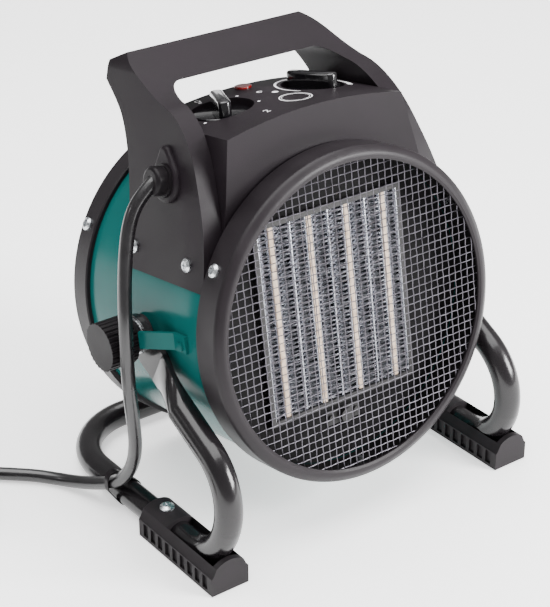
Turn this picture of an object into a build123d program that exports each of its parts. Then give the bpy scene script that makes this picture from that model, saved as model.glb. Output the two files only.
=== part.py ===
from build123d import *
import os
from math import cos, pi, radians, sin, sqrt, tan

os.makedirs("parts", exist_ok=True)

# Round ceramic fan heater on a bent tube stand.  Millimetres, +Z up, the front faces -Y.
# The origin lies on the floor, under the middle of the stand.

# ---------------------------------------------------------------- driving dimensions
# Heater body, measured along its own axis from the front grille plane (depth) and from that axis
drum_r = 94.0
drum_wall = 1.0
drum_front = 4.0
drum_back = 147.2
ring_r = 97.0
ring_lip_r = 89.2
ring_depth = 19.0
ring_lip = 1.2
rear_ring_front = 135.5
rear_ring_back = 151.3
tilt = 9.4
pivot_depth = 77.5

# Stand
tube_r = 8.0
tube_wall = 1.5
sole = 1.6
foot_x = 105.4
leg_x = 102.0
leg_slope = 27.0
leg_length = 111.1
leg_toe_y = -81.4
crossbar_y = 89.0
front_bend = 35.3
rear_bend = 46.0
foot_length = 73.4
foot_width = 24.6
foot_height = 20.0
foot_front_y = -93.0
pivot_y = 4.5
pivot_z = 114.7
eye_t = 3.6
eye_r = 12.0
crimp_start = 24.0
crimp_end = 54.0

# Clamp at the pivot
pad_t = 2.0
pad_r = 11.0
stud_r = 4.0
washer_r = 10.5
washer_t = 1.0
hub_r = 9.5
hub_length = 5.0
grip_r = 14.0
grip_length = 17.5

# Handle and control housing
handle_wall = 12.0
handle_half = 69.0
handle_ref = 130.0
draft = 0.2
handle_skin = 2.6
housing_front = 20.6
housing_crown = 119.0
housing_edge = 112.6
housing_wall = 2.4
knob_x = 32.0
knob_depth = 68.0
well_r = 18.5
well_floor = 111.6
lamp_depth = 92.0
lamp_r = 4.2
gland_depth = 59.0
gland_height = 88.5
gland_boss = 3.2
gland_boss_r = 12.5
gland_cap_r = 8.2
gland_cap = 8.6
gland_thread_r = 6.2
cord_r = 4.0

# Mains lead, from the gland to its coil, and from the coil to the plug
lead_route = [
    (-84.9, 0.7, 207.8),
    (-96.2, 1.3, 199.6),
    (-103.8, 0.2, 186.4),
    (-109.0, -3.6, 171.0),
    (-113.0, -7.6, 153.6),
    (-116.4, -12.4, 135.6),
    (-117.8, -14.6, 115.2),
    (-117.2, -14.8, 93.6),
    (-115.0, -14.0, 72.6),
    (-112.2, -11.0, 53.6),
    (-111.2, -4.6, 36.6),
    (-112.6, 3.8, 24.6),
    (-115.6, 13.4, 17.4),
    (-119.0, 26.0, 11.6),
    (-122.8, 40.0, 6.6),
    (-128.6, 53.4, 4.0),
    (-137.4, 64.6, 4.0),
    (-148.0, 74.4, 4.0),
    (-160.0, 85.2, 4.0),
    (-172.6, 97.4, 4.0),
    (-185.0, 109.0, 4.0),
]
tail_route = [
    (-271.0, 78.0, 20.0),
    (-271.4, 64.0, 20.2),
    (-272.2, 48.4, 19.6),
    (-272.0, 34.0, 18.8),
    (-272.0, 22.0, 18.8),
]
coil_centre = (-223.0, 79.6)
coil_in = 36.0
coil_out = 52.0
coil_height = 6 * cord_r

# Heating element
element_front = 21.6
element_depth = 14.0
element_height = 113.0
element_rise = 2.5
bar_pitch = 26.4
bar_width = 7.0
bars = 4
outer_fin = 6.2
divider_t = 1.0
frame_rail = 3.0
baffle_t = 1.0

# Fan and motor
fan_depth = 62.0
fan_r = 80.0
fan_hub_r = 15.0
fan_hub_length = 16.0
blades = 5
blade_chord = 42.0
blade_t = 1.6
blade_pitch = 32.0
blade_root = 13.0
shaft_r = 2.5
stack_depth = 88.0
stack_length = 24.0
stack_side = 58.0
rotor_r = 15.5
rotor_gap = 0.5
bracket_gap = 5.0
bracket_t = 1.6
bush_r = 6.0
mount_depth = 124.0
mount_t = 1.4

# Grilles
wire_r = 0.45
wire_pitch = 4.6
grille_rim = 3.4
grille_t = 2.2

# Clearances
slip = 0.05
fit_gap = 0.1
seat_gap = 0.3

UPWARDS = (Align.CENTER, Align.CENTER, Align.MIN)
DOWNWARDS = (Align.CENTER, Align.CENTER, Align.MAX)

# ---------------------------------------------------------------- frame of the tilted heater
pitch = radians(tilt)
nose = Vector(0, -cos(pitch), sin(pitch))
lift = Vector(0, sin(pitch), cos(pitch))
pivot = Vector(0, pivot_y, pivot_z)
face_centre = pivot + nose * pivot_depth
drum_axis = Axis(face_centre, nose * -1)


def at(x, depth, height):
    """A point given sideways, rearwards from the grille plane and upwards from the drum's axis."""
    return face_centre + Vector(x, 0, 0) - nose * depth + lift * height


def across(depth, x=0, height=0):
    """A plane square to the drum's axis that looks forwards."""
    return Plane(origin=at(x, depth, height), x_dir=(1, 0, 0), z_dir=nose)


def along(x=0):
    """The heater's side view: depth to the right, height up, looking from +X."""
    return Plane(origin=at(x, 0, 0), x_dir=nose * -1, z_dir=(1, 0, 0))


def level(height, x=0, depth=0):
    """A plane square to the heater's own up direction."""
    return Plane(origin=at(x, depth, height), x_dir=(1, 0, 0), z_dir=lift)


def radial(angle, depth, radius):
    """A plane that looks outwards from the drum's side; the angle is from the top."""
    turn = radians(angle)
    outward = Vector(sin(turn), 0, 0) + lift * cos(turn)
    return Plane(origin=at(0, depth, 0) + outward * radius, x_dir=nose, z_dir=outward)


def sideways(side, x):
    """A plane square to the pivot that looks outwards on one side of the heater."""
    return Plane(origin=pivot + Vector(side * x, 0, 0), x_dir=nose * side, z_dir=(side, 0, 0))


def half_width(height):
    """How far out the drafted outer face of the handle stands at a height."""
    return handle_half + draft * (handle_ref - height)


def on_wing(side, depth, height):
    """A plane on the outer face of one side of the handle."""
    lean = sqrt(1 + draft * draft)
    outward = Vector(side / lean, 0, 0) + lift * (draft / lean)
    return Plane(origin=at(side * half_width(height), depth, height), x_dir=nose * -1, z_dir=outward)


def drill(places, radius, depth):
    """Holes down from each place, inside the part that is being made."""
    with BuildSketch(*places) as holes:
        Circle(radius)
    extrude(holes.sketch, amount=-depth, mode=Mode.SUBTRACT)


def pan_screws(places, head_r, head_h, shank_r, length):
    """Pan-head cross-recess screws whose heads sit on the given places."""
    with BuildPart(*places) as screws:
        Cylinder(shank_r, length, align=DOWNWARDS)
        Cylinder(head_r, head_h * 0.5, align=UPWARDS)
        with Locations((0, 0, head_h * 0.5)):
            Cone(head_r, head_r * 0.62, head_h * 0.5, align=UPWARDS)
        with Locations((0, 0, head_h)):
            Box(head_r, head_r * 0.2, head_h * 0.8, mode=Mode.SUBTRACT)
            Box(head_r * 0.2, head_r, head_h * 0.8, mode=Mode.SUBTRACT)
    return screws


def save(builder, name):
    """Label a finished piece and write its STEP file."""
    builder.part.label = name
    export_step(builder.part, f"parts/{name}.step")


# ---------------------------------------------------------------- places that several pieces share
ring_screw_depth = 12.4
rear_screw_depth = 143.9
screw_angles = (-60.0, 60.0, 180.0)
screw_r = 1.9
screw_head_r = 3.9
screw_head_h = 2.2
screw_length = 7.0
ring_screw_places = [radial(angle, ring_screw_depth, ring_r) for angle in screw_angles]
rear_screw_places = [radial(angle, rear_screw_depth, ring_r) for angle in screw_angles]

wing_screw_height = 46.8
wing_screw_depths = (36.5, 89.7)
wing_screw_length = 9.5
wing_screw_places = [
    on_wing(side, depth, wing_screw_height) for side in (-1, 1) for depth in wing_screw_depths
]

tab_t = 1.8
rivet_r = 1.5
rivet_head_r = 2.6
rivet_depth = 36.8
rivet_height = 2.6
rivet_planes = [
    Plane(
        origin=at(side * (drum_r + tab_t), rivet_depth, rivet_height), x_dir=nose * side, z_dir=(side, 0, 0)
    )
    for side in (-1, 1)
]

drum_in = drum_r - drum_wall
eye_x = drum_r + pad_t + fit_gap + eye_t / 2
washer_x = eye_x + eye_t / 2 + fit_gap
hub_x = washer_x + washer_t + fit_gap
grip_x = hub_x + hub_length

# ---------------------------------------------------------------- drum and its two rings
with BuildPart() as drum_shell:
    with BuildSketch(along()):
        with Locations(((drum_front + drum_back) / 2, drum_r - drum_wall / 2)):
            Rectangle(drum_back - drum_front, drum_wall)
    revolve(axis=drum_axis)
    drill(ring_screw_places + rear_screw_places, screw_r, screw_length)
    drill([sideways(side, drum_r + pad_t) for side in (-1, 1)], stud_r, 6 * drum_wall + pad_t)
    drill(wing_screw_places, screw_r, wing_screw_length)
    drill(rivet_planes, rivet_r + slip, 8.0)
    drill([level(drum_r, 0, knob_depth)], 14.0, 8 * drum_wall)
save(drum_shell, "drum_shell")

grille_front = ring_lip + fit_gap
grille_r = drum_r - seat_gap
skirt_in = drum_r + fit_gap

with BuildPart() as front_ring:
    with BuildSketch(along()):
        with BuildLine():
            Polyline(
                (ring_lip, ring_lip_r), (0, ring_lip_r), (-0.9, ring_lip_r + 1.4), (-0.9, ring_lip_r + 2.4),
            )
            Spline(
                (-0.9, ring_lip_r + 2.4), (0.4, ring_r - 2.2), (3.4, ring_r),
                tangents=[(0, 1), (1, 0)],
            )
            Polyline(
                (3.4, ring_r), (ring_depth, ring_r), (ring_depth, skirt_in),
                (ring_lip, skirt_in), (ring_lip, ring_lip_r),
            )
        make_face()
    revolve(axis=drum_axis)
    drill(ring_screw_places, screw_r, screw_length)
save(front_ring, "front_ring")

with BuildPart() as rear_ring:
    with BuildSketch(along()):
        with BuildLine():
            Polyline(
                (rear_ring_back, ring_lip_r), (rear_ring_back, ring_r - 2.0),
                (rear_ring_back - 2.0, ring_r), (rear_ring_front + 0.8, ring_r),
                (rear_ring_front, ring_r - 0.8), (rear_ring_front, skirt_in),
                (rear_ring_back - ring_lip, skirt_in), (rear_ring_back - ring_lip, ring_lip_r), close=True,
            )
        make_face()
    revolve(axis=drum_axis)
    drill(rear_screw_places, screw_r, screw_length)
save(rear_ring, "rear_ring")

front_screws = pan_screws(ring_screw_places, screw_head_r, screw_head_h, screw_r - slip, screw_length)
save(front_screws, "front_ring_screws")
rear_screws = pan_screws(rear_screw_places, screw_head_r, screw_head_h, screw_r - slip, screw_length)
save(rear_screws, "rear_ring_screws")


def wire_grille(front):
    """A rim with two layers of straight wires across it."""
    reach = grille_r - grille_rim / 2
    lines = int((grille_r - grille_rim) / wire_pitch)
    wires = []
    for line in range(-lines, lines + 1):
        aside = line * wire_pitch
        half = sqrt(reach * reach - aside * aside)
        flat_depth = front + grille_t / 2 - wire_r - slip
        upright_depth = front + grille_t / 2 + wire_r + slip
        flat = Plane(origin=at(-half, flat_depth, aside), z_dir=(1, 0, 0))
        upright = Plane(origin=at(aside, upright_depth, -half), z_dir=lift)
        wires.append(Solid.make_cylinder(wire_r, 2 * half, flat))
        wires.append(Solid.make_cylinder(wire_r, 2 * half, upright))
    with BuildSketch(across(front)) as rim:
        Circle(grille_r)
        Circle(grille_r - grille_rim, mode=Mode.SUBTRACT)
    with BuildPart() as grille:
        extrude(rim.sketch, amount=-grille_t)
        add(wires)
    return grille


front_grille = wire_grille(grille_front)
save(front_grille, "front_grille")
rear_grille = wire_grille(drum_back + fit_gap)
save(rear_grille, "rear_grille")

# ---------------------------------------------------------------- handle: two sides and the grip
grip_front = (113.9, 149.6)
grip_rear_top = (126.5, 145.0)
grip_rear_low = (127.7, 134.4)
wing_foot = 34.0
wing_front_edge = [
    (20.0, wing_foot), (20.4, 47.0), (22.4, 64.0), (30.0, 88.0), (38.0, 105.0), (50.5, 119.0), (67.0, 127.0),
]
wing_front_top = [(67.0, 127.0), (82.0, 133.0), (98.0, 141.2), grip_front]
wing_rear_edge = [
    grip_rear_low, (119.7, 127.4), (111.1, 118.6), (104.7, 106.5), (100.6, 93.0), (97.5, 71.6),
    (93.2, wing_foot),
]
underside = 134.4


with BuildSketch() as side_outline:
    with BuildLine():
        Spline(*wing_front_edge)
        Spline(*wing_front_top)
        Line(grip_front, grip_rear_top)
        Line(grip_rear_top, grip_rear_low)
        Spline(*wing_rear_edge)
        Line(wing_rear_edge[-1], wing_front_edge[0])
    make_face()

core_top = underside - handle_skin
core_points = [
    (23.0, 37.0), (23.2, 59.6), (32.6, 86.6), (40.6, 103.6), (52.2, 116.4), (68.0, 124.2), (83.2, 130.2),
    (86.5, core_top), (121.0, core_top), (117.6, 128.8), (108.8, 119.8), (102.2, 107.2), (98.0, 93.4),
    (94.9, 71.8), (90.8, 37.0),
]
with BuildSketch() as core_outline:
    with BuildLine():
        Polyline(*core_points, close=True)
    make_face()
    with Locations(*[(depth, wing_foot) for depth in wing_screw_depths]):
        Rectangle(18, 46, mode=Mode.SUBTRACT)


def strap_band(outset, low, high, corner):
    """The drafted outline of the handle seen from the front, moved outwards by an outset."""
    with BuildSketch() as band:
        with BuildLine():
            Polyline(
                (-half_width(low) - outset, low), (-half_width(high) - outset, high),
                (half_width(high) + outset, high), (half_width(low) + outset, low), close=True,
            )
        make_face()
        if corner:
            fillet(band.vertices().group_by(Axis.Y)[-1], corner)
    return band.sketch


strap_top = 152.0
strap_low = 20.0
outer_round = 15.0
inner_round = 12.0
handle_reach = 150.0

outer_band = strap_band(0, strap_low, strap_top, outer_round)
inner_band = strap_band(-handle_wall, strap_low, underside, inner_round)
core_outer_band = strap_band(-handle_skin, strap_low, strap_top, 0)
core_inner_band = strap_band(handle_skin - handle_wall, strap_low - 1, strap_top + 1, 0)

with BuildPart() as wing_core:
    with BuildSketch(along()):
        add(core_outline.sketch)
    extrude(amount=110, both=True)
    with BuildSketch(across(0)):
        add(core_outer_band)
        add(core_inner_band, mode=Mode.SUBTRACT)
    extrude(amount=-handle_reach, mode=Mode.INTERSECT)

with BuildPart() as handle:
    with BuildSketch(along()):
        add(side_outline.sketch)
    extrude(amount=110, both=True)
    with BuildSketch(across(0)):
        add(outer_band)
    extrude(amount=-handle_reach, mode=Mode.INTERSECT)
    with BuildSketch(across(0)):
        add(inner_band)
    extrude(amount=-handle_reach, mode=Mode.SUBTRACT)
    with BuildSketch(across(0)):
        Circle(drum_r + fit_gap)
    extrude(amount=-handle_reach, mode=Mode.SUBTRACT)
    add(wing_core.part, mode=Mode.SUBTRACT)

# ---------------------------------------------------------------- control housing between the two sides
housing_back = [(101.0, 114.0), (98.6, 104.0), (96.4, 92.0), (93.0, 72.0), (90.6, 30.0)]
housing_side = [
    (housing_front - 1.2, 30.0), (housing_front, 80.0), (housing_front + 2.6, 124.0), (101.0, 124.0),
]


def housing_front_view(inset):
    """The housing seen from the front: drafted sides and a crowned top, drawn in by an inset."""
    edge = half_width(housing_edge) - handle_wall - seat_gap - inset
    low = half_width(30.0) - handle_wall - seat_gap - inset
    with BuildSketch() as view:
        with BuildLine():
            Polyline((-edge, housing_edge - inset), (-low, 30.0), (low, 30.0), (edge, housing_edge - inset))
            ThreePointArc(
                (-edge, housing_edge - inset), (0, housing_crown - inset), (edge, housing_edge - inset)
            )
        make_face()
    return view.sketch


def housing_side_view(inset):
    """The housing seen from the side, drawn in by an inset."""
    with BuildSketch() as view:
        with BuildLine():
            Polyline(*housing_side, *housing_back, close=True)
        make_face()
        if inset:
            offset(amount=-inset, mode=Mode.REPLACE)
    return view.sketch


housing_outer_front = housing_front_view(0)
housing_outer_side = housing_side_view(0)
housing_inner_front = housing_front_view(housing_wall)
housing_inner_side = housing_side_view(housing_wall)
knob_places = [level(well_floor, side * knob_x, knob_depth) for side in (-1, 1)]
lamp_place = level(housing_crown, 0, lamp_depth)
cup_r = well_r + housing_wall
control_shaft_r = 3.0
control_bush_r = 4.6
gland_plane = on_wing(-1, gland_depth, gland_height)

with BuildPart() as housing_space:
    with BuildSketch(along()):
        add(housing_inner_side)
        with Locations((60, 30)):
            Rectangle(200, 2 * housing_wall + 1)
    extrude(amount=110, both=True)
    with BuildSketch(across(0)):
        add(housing_inner_front)
    extrude(amount=-handle_reach, mode=Mode.INTERSECT)
    with BuildSketch(*[level(well_floor - housing_wall, side * knob_x, knob_depth) for side in (-1, 1)]):
        Circle(cup_r)
    extrude(amount=20, mode=Mode.SUBTRACT)

with BuildPart() as control_housing:
    with BuildSketch(along()):
        add(housing_outer_side)
    extrude(amount=110, both=True)
    with BuildSketch(across(0)):
        add(housing_outer_front)
    extrude(amount=-handle_reach, mode=Mode.INTERSECT)
    with BuildSketch(across(0)):
        Circle(drum_r + fit_gap)
    extrude(amount=-handle_reach, mode=Mode.SUBTRACT)
    front_edges = control_housing.edges().filter_by(GeomType.CIRCLE).sort_by(drum_axis)
    fillet([edge for edge in front_edges if edge.radius > 150][:1], 2.4)
    add(housing_space.part, mode=Mode.SUBTRACT)
    with BuildSketch(*knob_places):
        Circle(well_r)
    extrude(amount=20, mode=Mode.SUBTRACT)
    drill(knob_places, control_bush_r + fit_gap, 2 * housing_wall)
    drill([lamp_place], lamp_r + fit_gap, 3 * housing_wall)
    drill([gland_plane.offset(-handle_wall + 2)], gland_thread_r + fit_gap, 10)
save(control_housing, "control_housing")

# ---------------------------------------------------------------- gland boss and screw holes in the handle
with BuildPart() as gland_boss_pad:
    with BuildSketch(gland_plane.offset(-1.0)):
        Circle(gland_boss_r)
        with Locations((2.0, -14.0)):
            Circle(5.0)
        make_hull()
    extrude(amount=gland_boss + 1.0)
    fillet(gland_boss_pad.faces().sort_by(Axis(gland_plane.origin, gland_plane.z_dir))[-1].edges(), 2.4)

with BuildPart(*wing_screw_places) as wing_screw_holes:
    Cylinder(screw_r, 2 * wing_screw_length)

with BuildPart() as handle_moulding:
    add(handle.part)
    add(gland_boss_pad.part)
    drill([gland_plane.offset(gland_boss)], gland_thread_r + fit_gap, handle_wall + gland_boss + 4)
    add(wing_screw_holes.part, mode=Mode.SUBTRACT)
save(handle_moulding, "handle")

wing_screws = pan_screws(wing_screw_places, screw_head_r, screw_head_h, screw_r - slip, wing_screw_length)
save(wing_screws, "handle_screws")

# ---------------------------------------------------------------- cord gland
cap_flange = 1.6
cap_flange_r = gland_cap_r + 1.2
gland_tail = handle_wall + gland_boss + 8.0
mouth_depth = 5.0
mouth = lead_route[0]
mouth_plane = Plane(origin=mouth, z_dir=Vector(*lead_route[1]) - Vector(*mouth))
with BuildPart() as cord_gland:
    with BuildSketch(gland_plane.offset(gland_boss)):
        Circle(cap_flange_r)
    extrude(amount=cap_flange)
    with BuildSketch(gland_plane.offset(gland_boss + cap_flange)):
        Circle(gland_cap_r)
    extrude(amount=gland_cap - cap_flange)
    fillet(cord_gland.edges().sort_by(Axis.X)[0], 2.2)
    with BuildSketch(gland_plane.offset(gland_boss)):
        Circle(gland_thread_r)
    extrude(amount=-gland_tail)
    drill([gland_plane.offset(gland_boss + gland_cap - mouth_depth)], cord_r + fit_gap, 2 * gland_tail)
    with BuildSketch(mouth_plane.offset(-slip)) as lead_mouth:
        Circle(cord_r + fit_gap)
    extrude(lead_mouth.sketch, amount=4 * cord_r, mode=Mode.SUBTRACT)
save(cord_gland, "cord_gland")

nut_depth = handle_wall + housing_wall + seat_gap + 0.2
with BuildPart() as gland_nut:
    with BuildSketch(gland_plane.offset(-nut_depth)):
        RegularPolygon(gland_thread_r + 4.5, 6)
        Circle(gland_thread_r + slip, mode=Mode.SUBTRACT)
    extrude(amount=-4.0)
save(gland_nut, "gland_nut")

# ---------------------------------------------------------------- knobs, lamp and what they work
knob_disc_r = 17.0
knob_disc_t = 3.2
knob_bar = (33.0, 7.4, 9.5)
knob_floor_gap = 0.4
control_shaft_rise = 3.0
switch_turn = -25.0
thermostat_turn = 19.0


def control_knob(side, turn):
    """A disc with a raised grip bar, turned on its shaft."""
    base = level(well_floor + knob_floor_gap, side * knob_x, knob_depth)
    with BuildPart(Plane(base.location * Rotation(0, 0, turn))) as knob:
        Cylinder(knob_disc_r, knob_disc_t, align=UPWARDS)
        with Locations((0, 0, knob_disc_t)):
            Box(knob_bar[1], knob_bar[0], knob_bar[2], align=UPWARDS)
        Cylinder(control_shaft_r + slip, 2 * (knob_disc_t + control_shaft_rise + 1.0), mode=Mode.SUBTRACT)
    return knob


switch_knob = control_knob(-1, switch_turn)
save(switch_knob, "switch_knob")
thermostat_knob = control_knob(1, thermostat_turn)
save(thermostat_knob, "thermostat_knob")

lamp_flange = 1.2
with BuildPart(lamp_place) as power_lamp:
    Cylinder(lamp_r, 14.0, align=DOWNWARDS)
    Cylinder(lamp_r + 0.9, lamp_flange, align=UPWARDS)
    fillet(power_lamp.edges().sort_by(SortBy.DISTANCE)[-1], 0.5)
save(power_lamp, "power_lamp")

under_cup = well_floor - housing_wall
control_shaft_length = housing_wall + knob_disc_t + control_shaft_rise
with BuildPart(level(under_cup - fit_gap, -knob_x, knob_depth)) as rotary_switch:
    Box(30.0, 30.0, 14.6, align=DOWNWARDS)
    Cylinder(control_bush_r, housing_wall + fit_gap, align=UPWARDS)
    Cylinder(control_shaft_r, control_shaft_length, align=UPWARDS)
save(rotary_switch, "rotary_switch")

with BuildPart(level(under_cup - fit_gap, knob_x, knob_depth)) as thermostat:
    Cylinder(15.0, 4.0, align=DOWNWARDS)
    with Locations((0, 0, -4.0)):
        Box(14.0, 34.0, 11.0, align=DOWNWARDS)
    Cylinder(control_bush_r, housing_wall + fit_gap, align=UPWARDS)
    Cylinder(control_shaft_r, control_shaft_length, align=UPWARDS)
save(thermostat, "thermostat")

terminal_depth = 36.0
terminal_height = drum_r + seat_gap
with BuildPart(level(terminal_height, 0, terminal_depth)) as terminal_block:
    Box(38.0, 16.0, 12.0, align=UPWARDS)
    with GridLocations(11.0, 0, 3, 1):
        with Locations((0, 0, 12.0)):
            Cylinder(2.6, 12.0, mode=Mode.SUBTRACT)
save(terminal_block, "terminal_block")

# ---------------------------------------------------------------- heating element
half_frame = (bars - 1) / 2 * bar_pitch + bar_width / 2 + outer_fin
element_top = element_rise + element_height / 2
element_low = element_rise - element_height / 2
bar_places = [(line - (bars - 1) / 2) * bar_pitch for line in range(bars)]


def element_slabs(spans, name, front=element_front, depth=element_depth):
    """Upright slabs of the element, given by where each begins and ends sideways."""
    with BuildPart(across(front, 0, element_rise)) as slabs:
        for start, end in spans:
            with Locations(((start + end) / 2, 0, 0)):
                Box(end - start, element_height, depth, align=DOWNWARDS)
    save(slabs, name)


element_slabs([(x - bar_width / 2, x + bar_width / 2) for x in bar_places], "ceramic_bars")
divider_places = [(a + b) / 2 for a, b in zip(bar_places, bar_places[1:])]
element_slabs([(x - divider_t / 2, x + divider_t / 2) for x in divider_places], "fin_dividers")
fin_edges = sorted(
    [x - bar_width / 2 for x in bar_places] + [x + bar_width / 2 for x in bar_places]
    + [x - divider_t / 2 for x in divider_places] + [x + divider_t / 2 for x in divider_places]
    + [-half_frame, half_frame]
)
element_slabs(list(zip(fin_edges[0::2], fin_edges[1::2])), "heat_fins")

frame_front = element_front - 0.8
frame_depth = element_depth + 2.0
with BuildPart(across(frame_front, 0, element_rise)) as element_frame:
    Box(
        2 * (half_frame + frame_rail), element_height + 2 * frame_rail, frame_depth,
        align=DOWNWARDS,
    )
    Box(2 * half_frame, element_height, 4 * frame_depth, mode=Mode.SUBTRACT)
save(element_frame, "element_frame")

baffle_front = frame_front + 4.0
baffle_r = drum_in - seat_gap
baffle_flange = 9.0
cutout_height = -66.0
with BuildPart() as baffle_plate:
    with BuildSketch(across(baffle_front)):
        Circle(baffle_r)
    extrude(amount=-baffle_flange)
    with BuildSketch(across(baffle_front + baffle_t)):
        Circle(baffle_r - baffle_t)
    extrude(amount=-baffle_flange, mode=Mode.SUBTRACT)
    with BuildSketch(across(baffle_front, 0, element_rise)):
        Rectangle(2 * (half_frame + frame_rail + fit_gap), element_height + 2 * (frame_rail + fit_gap))
    extrude(amount=-2 * baffle_t, mode=Mode.SUBTRACT)
save(baffle_plate, "baffle_plate")

with BuildPart(across(baffle_front - slip, 0, cutout_height)) as thermal_cutout:
    Box(24.0, 9.0, 0.8, align=UPWARDS)
    Cylinder(4.2, 5.0, align=UPWARDS)
    with GridLocations(18.0, 0, 2, 1):
        Cylinder(2.0, 2.2, align=UPWARDS)
save(thermal_cutout, "thermal_cutout")

# ---------------------------------------------------------------- fan, motor and their mount
shaft_front = fan_depth - fan_hub_length / 2 - 3.0
shaft_back = stack_depth + stack_length + bracket_gap + bracket_t + 5.0
with BuildPart(across(fan_depth)) as fan_impeller:
    Cylinder(fan_hub_r, fan_hub_length)
    with PolarLocations((blade_root + fan_r) / 2, blades):
        Box(fan_r - blade_root, blade_chord, blade_t, rotation=(blade_pitch, 0, 0))
    Cylinder(fan_r, 4 * fan_hub_length, mode=Mode.INTERSECT)
    Cylinder(shaft_r + slip, 4 * fan_hub_length, mode=Mode.SUBTRACT)
save(fan_impeller, "fan_impeller")

with BuildPart(across(shaft_front)) as motor_shaft:
    Cylinder(shaft_r, shaft_back - shaft_front, align=DOWNWARDS)
save(motor_shaft, "motor_shaft")

with BuildPart(across(stack_depth)) as motor_rotor:
    Cylinder(rotor_r, stack_length, align=DOWNWARDS)
    Cylinder(shaft_r + slip, 4 * stack_length, mode=Mode.SUBTRACT)
save(motor_rotor, "motor_rotor")

coil_space = 16.0
with BuildPart(across(stack_depth)) as motor_stack:
    Box(stack_side, stack_side + coil_space, stack_length, align=DOWNWARDS)
    Cylinder(rotor_r + rotor_gap, 4 * stack_length, mode=Mode.SUBTRACT)
    with Locations((-stack_side / 4 - 3, -stack_side / 2, 0), (stack_side / 4 + 3, -stack_side / 2, 0)):
        Box(12.0, coil_space, 4 * stack_length, mode=Mode.SUBTRACT)
save(motor_stack, "motor_stack")

coil_width = stack_side / 2 + 6 - 12
with BuildPart(across(stack_depth + stack_length / 2, 0, -stack_side / 2)) as motor_coil:
    Box(coil_width + 20, coil_space - 1, stack_length + 16)
    Box(coil_width + 2 * fit_gap, 2 * coil_space, stack_length + 2 * fit_gap, mode=Mode.SUBTRACT)
save(motor_coil, "motor_coil")

bracket_places = [
    across(stack_depth - bracket_gap - bracket_t), across(stack_depth + stack_length + bracket_gap),
]
post_x = stack_side / 2 - 5
post_r = 3.2
with BuildPart(*bracket_places) as motor_brackets:
    Box(stack_side, 16.0, bracket_t, align=DOWNWARDS)
    Cylinder(bush_r + slip, 4 * bracket_t, mode=Mode.SUBTRACT)
post_planes = [across(stack_depth - bracket_gap, x) for x in (-post_x, post_x)]
post_planes += [across(stack_depth + stack_length, x) for x in (-post_x, post_x)]
with BuildPart(*post_planes) as bracket_posts:
    Cylinder(post_r, bracket_gap, align=DOWNWARDS)
with BuildPart() as bearing_brackets:
    add(motor_brackets.part)
    add(bracket_posts.part)
save(bearing_brackets, "bearing_brackets")

bush_length = 5.0
bush_places = [
    across(stack_depth - bracket_gap - bracket_t / 2),
    across(stack_depth + stack_length + bracket_gap + bracket_t / 2),
]
with BuildPart(*bush_places) as shaft_bushes:
    Cylinder(bush_r, bush_length)
    Cylinder(shaft_r + slip, 2 * bush_length, mode=Mode.SUBTRACT)
save(shaft_bushes, "shaft_bushes")

arm_width = 14.0
mount_post = mount_depth - (stack_depth + stack_length) - bracket_gap - bracket_t
mount_r = drum_in - seat_gap
mount_hub_r = 34.0
mount_bore_r = 14.0
mount_clip = 10.0
with BuildPart() as motor_mount:
    with BuildSketch(across(mount_depth)):
        Circle(mount_hub_r)
        with PolarLocations(mount_r / 2, 3, start_angle=90):
            Rectangle(mount_r * 1.1, arm_width)
        Circle(mount_r, mode=Mode.INTERSECT)
        Circle(mount_bore_r, mode=Mode.SUBTRACT)
    extrude(amount=-mount_t)
    with BuildSketch(across(mount_depth)):
        with PolarLocations(mount_r / 2, 3, start_angle=90):
            Rectangle(mount_r * 1.1, arm_width)
        Circle(mount_r, mode=Mode.INTERSECT)
        Circle(mount_r - mount_t, mode=Mode.SUBTRACT)
    extrude(amount=-mount_clip)
    with BuildSketch(across(mount_depth, -post_x), across(mount_depth, post_x)):
        Circle(post_r)
    extrude(amount=mount_post)
save(motor_mount, "motor_mount")

# ---------------------------------------------------------------- pivot, its clamp knobs and the stop tabs
with BuildPart(sideways(-1, drum_r + pad_t), sideways(1, drum_r + pad_t)) as pivot_pads:
    Cylinder(pad_r, 2 * pad_t, align=DOWNWARDS)
    Cylinder(stud_r + slip, 6 * pad_t, mode=Mode.SUBTRACT)
    with BuildSketch(across(0)) as drum_section:
        Circle(drum_r + slip)
    extrude(drum_section.sketch, amount=-handle_reach, mode=Mode.SUBTRACT)
save(pivot_pads, "pivot_pads")

stud_out = grip_x + 8.0
stud_head_t = 4.0
stud_seat = drum_in - 1.2
with BuildPart(sideways(-1, stud_seat), sideways(1, stud_seat)) as pivot_studs:
    Cylinder(stud_r - slip, stud_out - stud_seat, align=UPWARDS)
    with BuildSketch(sideways(-1, stud_seat), sideways(1, stud_seat)) as heads:
        RegularPolygon(7.4, 6)
    extrude(heads.sketch, amount=-stud_head_t)
save(pivot_studs, "pivot_studs")

with BuildPart(sideways(-1, washer_x), sideways(1, washer_x)) as pivot_washers:
    Cylinder(washer_r, washer_t, align=UPWARDS)
    Cylinder(stud_r + slip, 4 * washer_t, mode=Mode.SUBTRACT)
save(pivot_washers, "pivot_washers")

rib_count = 28
rib_r = 0.9
for side, name in ((-1, "clamp_knob_left"), (1, "clamp_knob_right")):
    with BuildPart(sideways(side, hub_x)) as clamp_knob:
        Cylinder(hub_r, hub_length, align=UPWARDS)
        with Locations((0, 0, hub_length)):
            Cylinder(grip_r, grip_length, align=UPWARDS)
        fillet(clamp_knob.edges().filter_by(GeomType.CIRCLE).sort_by(SortBy.LENGTH)[-1], 0.6)
        with Locations((0, 0, hub_length)):
            with PolarLocations(grip_r + rib_r * 0.35, rib_count):
                Cylinder(rib_r, grip_length, align=UPWARDS, mode=Mode.SUBTRACT)
        Cylinder(stud_r, 2 * (stud_out - hub_x + 1.0), mode=Mode.SUBTRACT)
    save(clamp_knob, name)

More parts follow.
